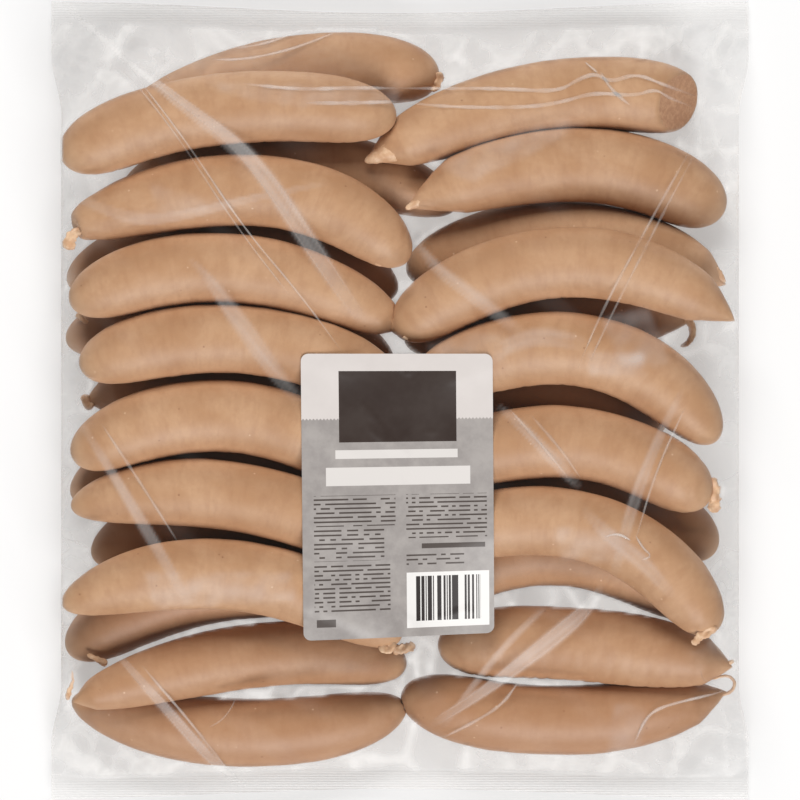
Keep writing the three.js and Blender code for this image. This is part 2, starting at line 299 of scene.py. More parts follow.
# Loose casing past the ends. Each has the sausage and the end it hangs from, the points it runs
# through, how high it lies above that end's axis, its radius at both ends, how flat it is and how
# ruffled.
CASING_ENDS = (
    ("left_upper_2", 0, ((-163, 88), (-168.5, 87.6), (-171.4, 84), (-172.6, 78)),
     2, 1.6, 4.0, 0.35, 0.16),
    ("left_upper_2", 1, ((-4, 76), (-9, 73), (-13.8, 71.6)), 3, 5.0, 2.2, 0.8, 0.08),
    ("left_floor_1", 1, ((16, 161.5), (20, 164), (20.8, 171)), 6, 1.9, 2.1, 0.35, 0.28),
    ("right_floor_1", 0, ((-2, 131), (-10, 127.4), (-18.4, 124)), 2, 7.4, 1.6, 0.85, 0.05),
    ("right_floor_2", 0, ((12, 104), (7, 101.4), (2.8, 99.4)), 1, 3.0, 1.2, 0.9, 0.08),
    ("right_floor_2", 1, ((164.5, 98.5), (168.4, 97.2)), 4, 1.8, 1.1, 0.6, 0.3),
    ("right_floor_3", 1, ((164, 68.5), (167.4, 64.6), (169.5, 61.2)), 3, 2.4, 0.8, 0.8, 0.2),
    ("right_floor_4", 1, ((144, 44.5), (149, 43), (152.6, 38.6), (152.6, 33), (149.6, 29), (146.2, 28)),
     1, 2.6, 1.2, 0.8, 0.1),
    ("right_upper_1", 0, ((2, 33.5), (4, 31)), 6, 1.4, 0.8, 0.7, 0.2),
    ("right_upper_3", 1, ((161.8, -40.4), (163.6, -46), (163.8, -53), (162.6, -58.6)),
     2, 2.9, 2.9, 0.2, 0.3),
    ("right_upper_4", 1, ((164.2, -118), (159.6, -120.6), (155, -123.4), (151.6, -126.8)),
     7, 2.5, 1.7, 0.24, 0.28),
    ("right_floor_8", 1, ((171, -137), (173.8, -135.6)), 4, 1.4, 0.9, 0.7, 0.2),
    ("right_floor_9", 1, ((168, -153.8), (173, -151.8), (174.8, -147.6), (172.4, -144), (168, -143.6),
                          (163, -145.6)),
     8, 1.0, 0.6, 0.8, 0.1),
    ("left_floor_9", 0, ((-173, -156), (-171.6, -150), (-169.8, -146), (-170.6, -140.6)),
     4, 1.6, 0.35, 0.5, 0.3),
    ("left_floor_8", 0, ((-163, -132.4), (-158, -134.6), (-152.4, -137.6)), 15, 1.0, 2.0, 0.35, 0.2),
    ("left_floor_5", 0, ((-164.6, 3), (-163.8, -1.4), (-162, -4.4), (-159.8, -1.2), (-157.6, 1.2)),
     2, 2.6, 1.0, 0.8, 0.1),
    ("left_floor_3", 0, ((-168.5, 45), (-165, 41.5), (-161.6, 39.6)), 10, 1.6, 1.0, 0.8, 0.2),
    ("left_upper_7", 1, ((-11, -128), (-5.4, -130.6), (-3.4, -125)), 4, 2.0, 2.4, 0.35, 0.15),
    ("right_floor_7", 0, ((-4, -130.5), (2.5, -129.4), (8, -127.6)), 16, 2.6, 2.6, 0.35, 0.2),
)
TAIL_STEP = 0.45
TAIL_SIDES = 16
TAIL_BREADTH = 5
TAIL_RAGS = (3.2, 1.5)
SMALL_RAGS = 0.7
TAIL_FLUTTER = (1.5, 8)

# Soft veils in the film, painted reflections of the lights drawn as cloudier film: strength, and the
# points each runs through with its width there
REFLECTION_BANDS = (
    (0.24, ((-176, 207, 2.5), (-152, 186, 3), (-141, 175, 2.5), (-125, 164, 3), (-108, 151, 4),
            (-92, 139, 6), (-78, 126, 8), (-64, 108, 9), (-50, 86, 9), (-34, 62, 8), (-20, 42, 6))),
    (0.18, ((-141, 175, 1.5), (-121, 158, 3), (-105, 146, 4.5), (-90, 134, 5), (-80, 122, 4))),
    (0.17, ((-108, 72, 3), (-98, 62, 5), (-90, 50, 8), (-80, 36, 9), (-66, 16, 8), (-54, 2, 6))),
    (0.18, ((-165, -13, 3), (-148, -40, 5), (-130, -70, 6), (-111, -103, 5))),
    (0.2, ((-146, -133, 3), (-123, -159, 5), (-98, -188, 5), (-82, -202, 3))),
    (0.16, ((8, 82, 3), (20, 67, 6), (40, 53, 7), (60, 37, 6))),
    (0.15, ((146, 4, 3), (132, -24, 5), (120, -56, 6), (112, -88, 5))),
    (0.24, ((104, -98, 4), (97, -109, 7), (83, -121, 9), (68, -133, 8), (42, -153, 5), (18, -168, 4))),
    (0.15, ((74, -109, 3), (52, -130, 4), (23, -169, 3))),
    (0.13, ((-170, 106, 3), (-152, 98, 6), (-134, 93, 6), (-110, 96, 5), (-80, 104, 4), (-40, 112, 3))),
    (0.16, ((52, -4, 3), (66, -16, 5), (82, -34, 6), (92, -44, 4))),
    (0.14, ((92, 30, 8), (70, 34, 10), (52, 26, 8))),
    (0.14, ((96, -58, 4), (110, -72, 8), (126, -84, 8), (140, -100, 5))),
)

# Tight creases in the film, standing up as thin ridges: width, strength, and the points. The strength
# is how cloudy each is drawn, partly the crease's own whitening and partly a painted highlight of its
# glints.
CREASES = (
    (0.9, 0.36, ((-141, 174), (-133, 163), (-110, 133), (-81, 89), (-52, 55), (-30, 25))),
    (0.8, 0.22, ((-145, 172), (-135, 162), (-114, 135), (-85, 90), (-57, 54))),
    (1.2, 0.26, ((-155, -12), (-134, -44), (-115, -74))),
    (1.2, 0.3, ((-134, -138), (-107, -170), (-85, -199))),
    (1.1, 0.22, ((151, 130), (130, 93), (106, 49), (92, 16))),
    (1.0, 0.16, ((154, 129), (135, 94), (112, 49), (96, 15))),
    (1.0, 0.26, ((148, -4), (133, -36), (122, -73))),
    (1.2, 0.3, ((62, -146), (53, -159), (36, -169), (22, -176))),
    (1.2, 0.42, ((122, -179), (127, -167), (133, -161), (146, -157), (168, -152))),
    (1.5, 0.32, ((-1, 162), (53, 162), (82, 160), (93, 167), (102, 170), (109, 165),
                (123, 170), (137, 164), (155, 158))),
    (1.5, 0.3, ((0, 155), (27, 152), (67, 152), (85, 155), (101, 160), (122, 158),
               (133, 162), (140, 157), (152, 153))),
    (1.5, 0.32, ((-81, 164), (-52, 161), (-26, 162), (-1, 162))),
    (1.5, 0.32, ((-49, 154), (-26, 154), (0, 155))),
    (1.3, 0.32, ((-86, 183), (-68, 186), (-54, 192))),
    (1.3, 0.32, ((-98, 177), (-81, 177), (-62, 181), (-47, 186), (-33, 192))),
    (0.9, 0.6, ((106, -71), (113, -69), (120, -73))),
    (0.9, 0.5, ((122, -70), (126, -77), (131, -81), (125, -83))),
    (1.0, 0.45, ((-175, -72), (-167, -74), (-161, -78))),
    (1.4, 0.25, ((57, -5), (74, -24), (87, -40))),
    (1.2, 0.2, ((68, -8), (83, -25), (94, -41))),
    (1.4, 0.3, ((104, 171), (110, 161), (120, 153))),
    (1.0, 0.4, ((96, 176), (103, 170))),
)

# Large patches of painted reflection, drawn as a little cloud in the film over the skin below
REFLECTION_PATCHES = (
    (0.10, ((-101, 165), (-29, 163), (0, 162), (0, 154), (-29, 153), (-52, 152), (-73, 155), (-92, 160))),
    (0.09, ((104, 42), (128, 49), (140, 20), (118, 12))),
    (0.08, ((112, -158), (128, -160), (124, -184), (108, -186))),
    (0.07, ((-130, 112), (-104, 106), (-98, 96), (-126, 98))),
    (0.10, ((20, 121), (42, 135), (80, 146), (98, 144), (72, 130), (38, 113))),
    (0.14, ((97, 24), (126, 24), (128, 13), (98, 12))),
    (0.12, ((-132, -90), (-56, -90), (-54, -104), (-128, -108))),
    (0.12, ((80, -66), (112, -68), (120, -84), (84, -82))),
    (0.08, ((14, 28), (40, 36), (60, 30), (52, 18), (26, 16))),
)

# Bands as strong as this have a thin crease along both edges, drawn cloudy as a painted highlight, of
# this width and share of the strength
EDGED_BAND = 0.2
BAND_EDGE_WIDTH = 0.8
BAND_EDGE_SHARE = 0.35

# Creases at random places in the empty margins: how many, and the least and the most of their
# width, strength and length
LOOSE_CREASES = 16
LOOSE_WIDTH = (0.5, 0.9)
LOOSE_FORCE = (0.1, 0.22)
LOOSE_LENGTH = (6, 26)

# How a crease stands up, as shares of its width, and the noise in its width and strength
RIDGE_STEP = 1.5
RIDGE_HALF_WIDTH = 0.65
RIDGE_RISE = 0.3
RIDGE_SINK = 0.12
RIDGE_WIDTH_NOISE = (0.25, 11, 71)
RIDGE_FORCE_NOISE = (0.35, 23, 72)


def smoothstep(low, high, value):
    t = np.clip((value - low) / (high - low), 0, 1)
    return t * t * (3 - 2 * t)


def waves(points, size, seed, count=7):
    """Smooth noise of about that size, between -1 and 1: a few waves in random directions."""
    draw = np.random.default_rng(seed)
    points = np.asarray(points, float)
    total = np.zeros(points.shape[:-1])
    for _ in range(count):
        direction = draw.normal(size=points.shape[-1])
        direction *= 2 * math.pi / size / np.linalg.norm(direction) * draw.uniform(0.6, 1.5)
        total += np.sin(points @ direction + draw.uniform(0, 2 * math.pi))
    return total / math.sqrt(count) / 1.5


def noise(points, strength, size, seed):
    return strength * waves(points, size, seed)


def smooth_path(points, step):
    """Points at even steps along a path that turns softly through the given ones."""
    points = np.array(points, float)
    for _ in range(3):
        cut = np.empty((2 * len(points) - 2, points.shape[1]))
        cut[0::2] = points[:-1] * 0.75 + points[1:] * 0.25
        cut[1::2] = points[:-1] * 0.25 + points[1:] * 0.75
        points = np.concatenate((points[:1], cut, points[-1:]))
    travel = np.r_[0, np.cumsum(np.linalg.norm(np.diff(points, axis=0), axis=1))]
    spots = np.linspace(0, travel[-1], max(3, int(travel[-1] / step) + 1))
    return np.stack([np.interp(spots, travel, points[:, k]) for k in range(points.shape[1])], axis=1)


def sideways(path):
    """The unit vector to the left of a flat path at each of its points."""
    ahead = np.gradient(path[:, :2], axis=0)
    ahead /= np.maximum(np.linalg.norm(ahead, axis=1, keepdims=True), 1e-9)
    return np.stack((-ahead[:, 1], ahead[:, 0]), axis=1)


class Sausage:
    """One sausage along a quadratic curve, whose radius closes in at both tips."""

    def __init__(self, name, row):
        left_x, left_y, right_x, right_y, bulge, peak, diameter, left_blunt, right_blunt = row
        self.name = name
        self.bulge = bulge
        self.full_radius = diameter / 2
        self.blunt = (left_blunt, right_blunt)
        left = np.array((left_x, left_y), float)
        right = np.array((right_x, right_y), float)
        chord = right - left
        outward = np.array((-chord[1], chord[0])) / np.hypot(*chord)
        control = left + peak * chord + 2 * bulge * outward
        t = np.linspace(0, 1, CURVE_STEPS)[:, None]
        self.path = (1 - t) ** 2 * left + 2 * t * (1 - t) * control + t ** 2 * right
        travel = np.r_[0, np.cumsum(np.hypot(*np.diff(self.path, axis=0).T))]
        self.length = travel[-1]
        self.travel = travel / self.length
        self.heights = (0.0, 0.0)

    def radius(self, along):
        from_middle = 2 * np.asarray(along) - 1
        blunt = np.where(from_middle < 0, self.blunt[0], self.blunt[1])
        return self.full_radius * np.sqrt(np.clip(1 - np.abs(from_middle) ** blunt, 0, 1))

    def centre(self, along):
        x, y = (np.interp(along, self.travel, self.path[:, k]) for k in (0, 1))
        z = np.interp(along, (0, 1), self.heights)
        return np.stack((x, y, z), axis=-1)

    def forward(self, along):
        step = 0.5 / CURVE_STEPS
        ahead = self.centre(np.clip(along + step, 0, 1)) - self.centre(np.clip(along - step, 0, 1))
        ahead[..., 2] = 0
        return ahead / np.linalg.norm(ahead, axis=-1, keepdims=True)

    def axis(self, steps=AXIS_STEPS):
        along = np.linspace(0, 1, steps + 1)
        return along, self.centre(along), self.radius(along)


def height_needed(sausage, lower):
    """How high each of its axis points has to lie to clear the floor and the sausages below."""
    along, centres, radii = sausage.axis(SUPPORT_STEPS)
    needed = radii.copy()
    for other in lower:
        _, spots, sizes = other.axis(SUPPORT_STEPS)
        reach = SQUASH * (radii[:, None] + sizes)
        apart = ((centres[:, None, :2] - spots[None, :, :2]) ** 2).sum(-1)
        rise = np.sqrt(np.clip(reach ** 2 - apart, 0, None))
        lift = np.where(apart < reach ** 2, spots[:, 2] + rise, 0)
        needed = np.maximum(needed, lift.max(axis=1))
    return along, needed


def settle(sausage, lower):
    """Rests it on two points, one towards each end: the pair that holds its middle highest."""
    along, needed = height_needed(sausage, lower)
    first = along <= SUPPORT_LEFT
    second = along >= SUPPORT_RIGHT
    climb = needed[second][None, :] - needed[first][:, None]
    slope = climb / (along[second][None, :] - along[first][:, None])
    middle = needed[first][:, None] + slope * (0.5 - along[first][:, None])
    best = np.unravel_index(np.argmax(middle), middle.shape)
    sausage.heights = (middle[best] - slope[best] / 2, middle[best] + slope[best] / 2)


def fill_bag():
    floor_layer = [Sausage(name, row) for name, row in ON_FLOOR.items()]
    for sausage in floor_layer:
        sausage.heights = (sausage.full_radius - FLOOR_PRESS,) * 2
    upper_layer = [Sausage(name, row) for name, row in ON_OTHERS.items()]
    for sausage in upper_layer:
        settle(sausage, floor_layer)
    return floor_layer + upper_layer


# Meshes

def add_mesh(name, points, faces, materials, values=None, uvs=None, material_of=None, sharp=None):
    """A smooth mesh object from points in millimetres, with numbers at each point for its material."""
    mesh = bpy.data.meshes.new(name)
    mesh.from_pydata((np.asarray(points) * MM).tolist(), [], faces)
    mesh.polygons.foreach_set("use_smooth", [True] * len(mesh.polygons))
    for key, numbers in (values or {}).items():
        numbers = np.asarray(numbers, np.float32)
        kind, field = ("FLOAT", "value") if numbers.ndim == 1 else ("FLOAT_VECTOR", "vector")
        mesh.attributes.new(key, kind, "POINT").data.foreach_set(field, numbers.ravel())
    if uvs is not None:
        corners = np.empty(len(mesh.loops), np.int32)
        mesh.loops.foreach_get("vertex_index", corners)
        mesh.uv_layers.new(name="UVMap").data.foreach_set("uv", np.asarray(uvs)[corners].ravel())
    for material in materials:
        mesh.materials.append(material)
    if material_of is not None:
        mesh.polygons.foreach_set("material_index", np.asarray(material_of, np.int32))
    if sharp is not None:
        ends = np.empty(2 * len(mesh.edges), np.int32)
        mesh.edges.foreach_get("vertices", ends)
        mesh.edges.foreach_set("use_edge_sharp", np.asarray(sharp)[ends].reshape(-1, 2).all(axis=1))
    mesh.validate()
    mesh.update()
    made = bpy.data.objects.new(name, mesh)
    bpy.context.scene.collection.objects.link(made)
    return made


def tube_faces(rings, sides):
    """Faces of a closed tube: a point, then rings of points, then a point."""
    last = rings * sides + 1
    faces = [(0, 1 + (k + 1) % sides, 1 + k) for k in range(sides)]
    for ring in range(rings - 1):
        start = 1 + ring * sides
        for k in range(sides):
            beside = (k + 1) % sides
            faces.append((start + k, start + beside, start + sides + beside, start + sides + k))
    start = 1 + (rings - 1) * sides
    faces += [(start + k, start + (k + 1) % sides, last) for k in range(sides)]
    return faces


def joined(parts):
    """One list of points and one of faces from several meshes."""
    points, faces, start = [], [], 0
    for part_points, part_faces in parts:
        points.append(part_points)
        faces += [tuple(start + k for k in face) for face in part_faces]
        start += len(part_points)
    return np.concatenate(points), faces


def grid_faces(index):
    """Quads between neighbouring points of a grid."""
    loops = np.stack((index[:-1, :-1], index[1:, :-1], index[1:, 1:], index[:-1, 1:]), axis=-1)
    return [tuple(loop) for loop in loops.reshape(-1, 4).tolist()]


# Shapes of the sausages

def ring_places():
    """Where the rings of points lie along a sausage, closer together towards its tips."""
    return (1 - np.cos(np.linspace(0, math.pi, RINGS + 2)[1:-1])) / 2


def make_skin(sausage, index):
    """The sausage's points: a tip, rings of points, a tip, with slow lumps in its surface."""
    along = ring_places()
    turn = np.linspace(0, 2 * math.pi, SIDES, endpoint=False)
    centre = sausage.centre(along)
    forward = sausage.forward(along)
    side = np.stack((forward[:, 1], -forward[:, 0], np.zeros(len(along))), axis=-1)
    up = np.array((0, 0, 1))
    radial = side[:, None, :] * np.cos(turn)[None, :, None] + up * np.sin(turn)[None, :, None]
    radius = sausage.radius(along)[:, None] * np.ones(SIDES)
    spots = centre[:, None, :] + radial * radius[..., None]

    def uneven(strength, size, seed):
        return noise(spots, strength, size, seed + index)

    thin = (radius / sausage.full_radius) ** 2
    radius = radius + (uneven(*SLOW_LUMPS) + uneven(*SMALL_LUMPS)) * thin
    inner = smoothstep(-0.5, 1, np.cos(turn) * np.sign(sausage.bulge))[None, :]
    travel = (along * sausage.length)[:, None] + uneven(*RING_WANDER)
    rings = np.maximum(0, np.cos(2 * math.pi * travel / RING_SPACING)) ** 4
    radius = radius - RINGED.get(sausage.name, FAINT_RINGS) * rings * inner * thin * 2
    for end, reach in ((0, along), (1, 1 - along)):
        pinch = PINCHED_ENDS.get((sausage.name, end), UNPINCHED)
        radius = radius * (np.clip(reach * sausage.length / pinch, 0.02, 1) ** PINCH_POWER)[:, None]
        depth = PLEATED_ENDS.get((sausage.name, end), SMOOTH_END_PLEATS)
        near = np.exp(-reach * sausage.length / PLEAT_REACH)[:, None]
        twist = PLEAT_TWIST * near * (1 if end else -1)
        folds = np.abs(np.sin((turn[None, :] + twist) * PLEAT_COUNT / 2 + index))
        wobble = 1 + uneven(*PLEAT_WOBBLE)
        radius = radius - depth * near * (1 - folds) * wobble * np.clip(thin * 3, 0, 1)
    skin = centre[:, None, :] + radial * radius[..., None]
    tips = sausage.centre(np.array((0.0, 1.0)))
    skin = np.concatenate((tips[:1], skin.reshape(-1, 3), tips[1:]))
    for name, middle, reach, push in DENTS:
        if name == sausage.name:
            away = np.linalg.norm(skin - np.array(middle) - (0, 0, sausage.heights[0]), axis=1)
            skin[:, 0] += push * np.exp(-(away / reach) ** 2)
    return skin


def depth_inside(points, sausage):
    """How deep each point lies inside a sausage, and the way out of it."""
    _, centres, radii = sausage.axis()
    apart = points[:, None, :] - centres[None, :, :]
    distance = np.linalg.norm(apart, axis=-1)
    nearest = np.argmin(distance, axis=1)
    rows = np.arange(len(points))
    distance = distance[rows, nearest]
    outward = apart[rows, nearest] / np.maximum(distance, 1e-6)[:, None]
    return radii[nearest] - distance, outward


def press_together(sausages, skins):
    """Where two sausages would cross, each gives way by half, so that they meet in a flat patch."""
    pressed = []
    for sausage, skin in zip(sausages, skins):
        shift = np.zeros_like(skin)
        for other, other_skin in zip(sausages, skins):
            near = ((skin > other_skin.min(0)) & (skin < other_skin.max(0))).all(axis=1)
            if other is sausage or not near.any():
                continue
            depth, outward = depth_inside(skin[near], other)
            shift[near] += outward * (np.clip(depth + CONTACT_GAP, 0, None) / 2)[:, None]
        moved = skin + shift
        moved[:, 0] = np.clip(moved[:, 0], -SIDE_LIMIT, SIDE_LIMIT)
        moved[:, 2] = np.maximum(moved[:, 2], LIFT)
        pressed.append(moved)
    return pressed


def cut_end(sausage, skin):
    """Slices the end off along a plane. Says which points lie on the cut's face."""
    normal = np.array(CUT_FACING) / np.linalg.norm(CUT_FACING)
    middle = sausage.centre(np.array(1 - CUT_BACK / sausage.length))
    beyond = (skin - middle) @ normal
    rough = np.minimum(sum(noise(skin, *row) for row in CUT_ROUGHNESS), 0)
    on_cut = beyond > 0
    skin[on_cut] -= normal * (beyond - 0.9 * rough * smoothstep(0, CUT_RIM, beyond))[on_cut][:, None]
    return beyond > CUT_FACE_FROM


def build_sausages(sausages, skins, materials):
    """Two pieces, the left and the right column, each one mesh of whole sausages."""
    draw = np.random.default_rng(5)
    tones = {}
    for sausage in sausages:
        # Floor sausages get the darker covered tone as painted shade; the random spread added here is the
        # sausages' own.
        usual = COVERED_SHADE if sausage.name in ON_FLOOR else USUAL_TONE
        tones[sausage.name] = max(0, TONES_AND_SHADE.get(sausage.name, usual) + draw.uniform(-0.06, 0.06))
    tube = tube_faces(RINGS, SIDES)
    made = []
    turn = np.linspace(0, 2 * math.pi, SIDES, endpoint=False)
    for column in ("left", "right"):
        parts, tone, to_tip, on_cut, grain = [], [], [], [], []
        for sausage, skin in zip(sausages, skins):
            if not sausage.name.startswith(column):
                continue
            reach = np.minimum(ring_places(), 1 - ring_places()) * sausage.length
            cut = cut_end(sausage, skin) if sausage.name == CUT_SAUSAGE else np.zeros(len(skin), bool)
            parts.append((skin, tube))
            to_tip.append(np.r_[0.0, np.repeat(reach, SIDES), 0.0])
            tone.append(np.full(len(skin), tones[sausage.name]))
            travel = np.repeat(ring_places() * sausage.length, SIDES)
            circle = np.stack((np.cos(turn), np.sin(turn)), axis=-1)
            around = np.tile(circle, (RINGS, 1)) * sausage.full_radius
            rings = np.column_stack((travel, around * RING_STRETCH))
            ends = ((0, 0, 0), (sausage.length, 0, 0))
            grain.append(np.concatenate((ends[:1], rings, ends[1:])) + draw.uniform(-300, 300))
            on_cut += [cut[list(face)].all() for face in tube]
        points, faces = joined(parts)
        values = {
            "tone": np.concatenate(tone),
            "to_tip": np.concatenate(to_tip),
            "grain": np.concatenate(grain),
        }
        made.append(add_mesh(f"sausages_{column}", points, faces, materials, values, material_of=on_cut))
    return made


def casing_tail(sausage, end, route, lift, start_radius, end_radius, flatness, ruffle, seed):
    """A closed, flattened tube of casing along a path, with ragged edges."""
    path = smooth_path(route, TAIL_STEP)
    count = len(path)
    left = sideways(path)
    share = np.linspace(0, 1, count)
    radius = start_radius + (end_radius - start_radius) * share
    radius = radius * np.sqrt(np.clip(1 - (2 * share - 1) ** 8, 0.02, 1))
    turn = np.linspace(0, 2 * math.pi, TAIL_SIDES, endpoint=False)
    z = sausage.heights[end] + lift
    travel = np.arange(count) * TAIL_STEP
    across = TAIL_BREADTH * np.cos(turn)
    along_and_across = np.stack(np.broadcast_arrays(travel[:, None], across), axis=-1)
    large, small = (waves(along_and_across, size, seed) for size in TAIL_RAGS)
    wide = radius[:, None] * (1 + ruffle * (large + SMALL_RAGS * small))
    depth, size = TAIL_FLUTTER
    flutter = depth * ruffle * radius[:, None] * waves(along_and_across, size, seed + 1)
    points = np.empty((count, TAIL_SIDES, 3))
    points[..., :2] = path[:, None, :] + left[:, None, :] * (wide * np.cos(turn))[..., None]
    points[..., 2] = z + radius[:, None] * np.sin(turn) * flatness + flutter
    first = np.array((*path[0], z))
    last = np.array((*path[-1], z))
    points = np.concatenate((first[None], points.reshape(-1, 3), last[None]))
    points[:, 0] = np.clip(points[:, 0], -SIDE_LIMIT, SIDE_LIMIT)
    points[:, 2] = np.maximum(points[:, 2], LIFT)
    return points, tube_faces(count, TAIL_SIDES)


def casing_tails(sausages):
    named = {sausage.name: sausage for sausage in sausages}
    return joined([casing_tail(named[name], *row, seed=50 + 2 * k)
                   for k, (name, *row) in enumerate(CASING_ENDS)])


# The film

def crowd(fraction, crowding):
    return fraction * (1 - crowding) + np.sin(fraction * math.pi / 2) * crowding


def outline_grid(columns, rows):
    """Places over the bag's outline, straight at the waist and flared at the corners."""
    across = crowd(np.linspace(-1, 1, columns + 1), COLUMN_CROWDING)[:, None]
    along = crowd(np.linspace(-1, 1, rows + 1), ROW_CROWDING)[None, :]
    from_end = HALF_LENGTH * (1 - np.abs(along))
    flare = 1 - smoothstep(FLARE_FULL, FLARE_GONE, from_end)
    half_width = WAIST_HALF_WIDTH + (CORNER_HALF_WIDTH - WAIST_HALF_WIDTH) * flare
    dip = np.where(along > 0, UPPER_END_DIP, LOWER_END_DIP) * np.cos(across * math.pi / 2) ** 2
    dip_share = 1 - smoothstep(0, DIP_REACH, from_end)
    x = across * half_width
    y = along * HALF_LENGTH - np.sign(along) * dip * dip_share
    from_end = np.broadcast_to(from_end, x.shape)
    side_fold = smoothstep(SEAL_WIDTH, SIDE_FOLD_RISE, from_end)
    edge = SEAL_HEIGHT + (SIDE_FOLD_HEIGHT - SEAL_HEIGHT) * side_fold
    return x, y, from_end, edge


def surface_at(tree, x, y, direction=DOWN):
    """Height of a surface seen straight from above, or from below."""
    start = -direction.z * NOTHING_THERE / 2
    found = np.full(x.shape, direction.z * NOTHING_THERE)
    for spot in np.ndindex(x.shape):
        hit = tree.ray_cast(Vector((x[spot], y[spot], start)), direction)[0]
        if hit is not None:
            found[spot] = hit.z
    return found


def widened(heights):
    """Each place takes the highest of itself and its neighbours."""
    wide = heights.copy()
    for axis in (0, 1):
        for step in (-1, 1):
            wide = np.maximum(wide, np.roll(heights, step, axis=axis))
    return wide


def blurred(field, times):
    for _ in range(times):
        padded = np.pad(field, 1, mode="edge")
        beside = padded[:-2, 1:-1] + padded[2:, 1:-1] + padded[1:-1, :-2] + padded[1:-1, 2:]
        field = (beside + 2 * field) / 6
    return field


def spread(coarse, columns, rows):
    """The same heights on a finer grid."""
    old_columns, old_rows = (np.linspace(0, 1, count) for count in coarse.shape)
    new_columns = np.linspace(0, 1, columns + 1)
    new_rows = np.linspace(0, 1, rows + 1)
    wide = np.stack([np.interp(new_columns, old_columns, line) for line in coarse.T], axis=1)
    return np.stack([np.interp(new_rows, old_rows, line) for line in wide], axis=0)


def drape(pile, over, sag):
    """Draws a sheet over the pile like a skin, or under it, from a coarse grid to a fine one."""
    heights = None
    for share, steps in DRAPING:
        columns, rows = FILM_COLUMNS // share, FILM_ROWS // share
        _, _, from_end, edge = outline_grid(columns, rows)
        limit = pile[::share, ::share][1:-1, 1:-1]
        held = from_end < SEAL_WIDTH
        held[0, :] = held[-1, :] = True
        heights = edge.copy() if heights is None else spread(heights, columns, rows)
        for _ in range(steps):
            beside = heights[:-2, 1:-1] + heights[2:, 1:-1] + heights[1:-1, :-2] + heights[1:-1, 2:]
            mean = beside / 4
            if over:
                heights[1:-1, 1:-1] = np.maximum(limit, mean - sag * share ** 2)
            else:
                heights[1:-1, 1:-1] = np.clip(np.minimum(limit, mean), FLOOR_GAP, None)
            heights = np.where(held, edge, heights)
    return heights


def distance_to(route, x, y):
    """How far each place is from a line through points."""
    closest = np.full(x.shape, NOTHING_THERE)
    for (ax, ay), (bx, by) in zip(route[:-1], route[1:]):
        dx, dy = bx - ax, by - ay
        t = np.clip(((x - ax) * dx + (y - ay) * dy) / (dx ** 2 + dy ** 2), 0, 1)
        closest = np.minimum(closest, np.hypot(x - ax - t * dx, y - ay - t * dy))
    return closest


def inside_of(corners, x, y):
    """Which places lie inside a polygon."""
    inside = np.zeros(x.shape, bool)
    for (ax, ay), (bx, by) in zip(corners, corners[1:] + corners[:1]):
        crosses = (ay > y) != (by > y)
        inside ^= crosses & (x < (bx - ax) * (y - ay) / (by - ay if by != ay else 1e-9) + ax)
    return inside


def reflection_marks(x, y):
    """How strongly the film is clouded by its bands and patches: painted reflections of the lights, with
    a painted highlight along each band's edges.
    """
    places = np.stack((x, y), axis=-1)
    strength = np.zeros(x.shape)
    for number, (force, route) in enumerate(REFLECTION_BANDS):
        path = smooth_path(route, 3)
        left = sideways(path)
        apart = np.hypot(x[..., None] - path[:, 0], y[..., None] - path[:, 1])
        nearest = np.argmin(apart, axis=-1)
        half = path[nearest, 2] / 2
        across = (x - path[nearest, 0]) * left[nearest, 0] + (y - path[nearest, 1]) * left[nearest, 1]
        r = distance_to(path[:, :2], x, y) / half
        streaks = waves(np.stack((across * 3, nearest * 0.5), axis=-1), 12, 31 + number)
        fade = np.sin(np.pi * np.clip((nearest + 0.5) / len(path), 0, 1)) ** 0.6
        # The veil is a painted reflection, the bright edge a painted highlight along its rim.
        veil = (1 - smoothstep(0.45, 1.25, r)) * (0.85 + 0.3 * streaks)
        bright_edge = 0.25 * np.exp(-((r - 0.85) / 0.25) ** 2)
        strength = np.maximum(strength, force * fade * (veil + bright_edge))
    for force, corners in REFLECTION_PATCHES:
        patch = blurred(inside_of(corners, x, y).astype(float), 2)
        strength = strength + force * patch * (0.7 + 0.4 * waves(places, 15, 34))
    return strength


def facets(x, y, size, seed):
    """Crumpled film: how near each place is to an edge between facets, and how bright its facet is, as
    painted light and shade for how each facet catches the lamps.
    """
    draw = np.random.default_rng(seed)
    count = int(4 * HALF_LENGTH * CORNER_HALF_WIDTH / size ** 2)
    middles = draw.uniform(-1, 1, (count, 2)) * (CORNER_HALF_WIDTH, HALF_LENGTH)
    tones = draw.uniform(-1, 1, count)
    tree = KDTree(count)
    for number, (middle_x, middle_y) in enumerate(middles):
        tree.insert((middle_x, middle_y, 0), number)
    tree.balance()
    places = np.stack((x, y), axis=-1)
    bend = np.stack((waves(places, size * 2, seed), waves(places, size * 2, seed + 1)), axis=-1)
    bent = places + size * FACET_BEND * bend
    edge = np.zeros(x.shape)
    tone = np.zeros(x.shape)
    for spot in np.ndindex(x.shape):
        (_, first, near), (_, second, far) = tree.find_n((*bent[spot], 0), 2)
        share = 0.5 + 0.5 * tones[first] * tones[second]
        edge[spot] = share * math.exp(-((far - near) / size * FACET_SHARPNESS) ** 2)
        tone[spot] = tones[first]
    return edge, tone


def end_waves(x, from_end):
    """How far the sealed ends ripple up and down."""
    ripple = sum(height * np.sin(x / length + start) for height, length, start in END_WAVES)
    return ripple * (1 - smoothstep(SEAL_WIDTH, SEAL_WIDTH + END_WAVE_REACH, from_end))


def film_haze(x, y, empty, seal, crumpled):
    """How cloudy each place of the upper sheet is."""
    streaks = waves(np.stack((x, y), axis=-1) @ np.array(STREAK_SLANT), 24, 41, 12)
    haze = CLEAR_HAZE + STREAK_HAZE * smoothstep(0.2, 1.2, streaks)
    haze = haze + empty * (EMPTY_HAZE + (1 - seal) * blurred(crumpled, 1))
    haze = haze + SEAL_HAZE * seal
    return np.clip(haze + reflection_marks(x, y), CLEAR_HAZE, 1)


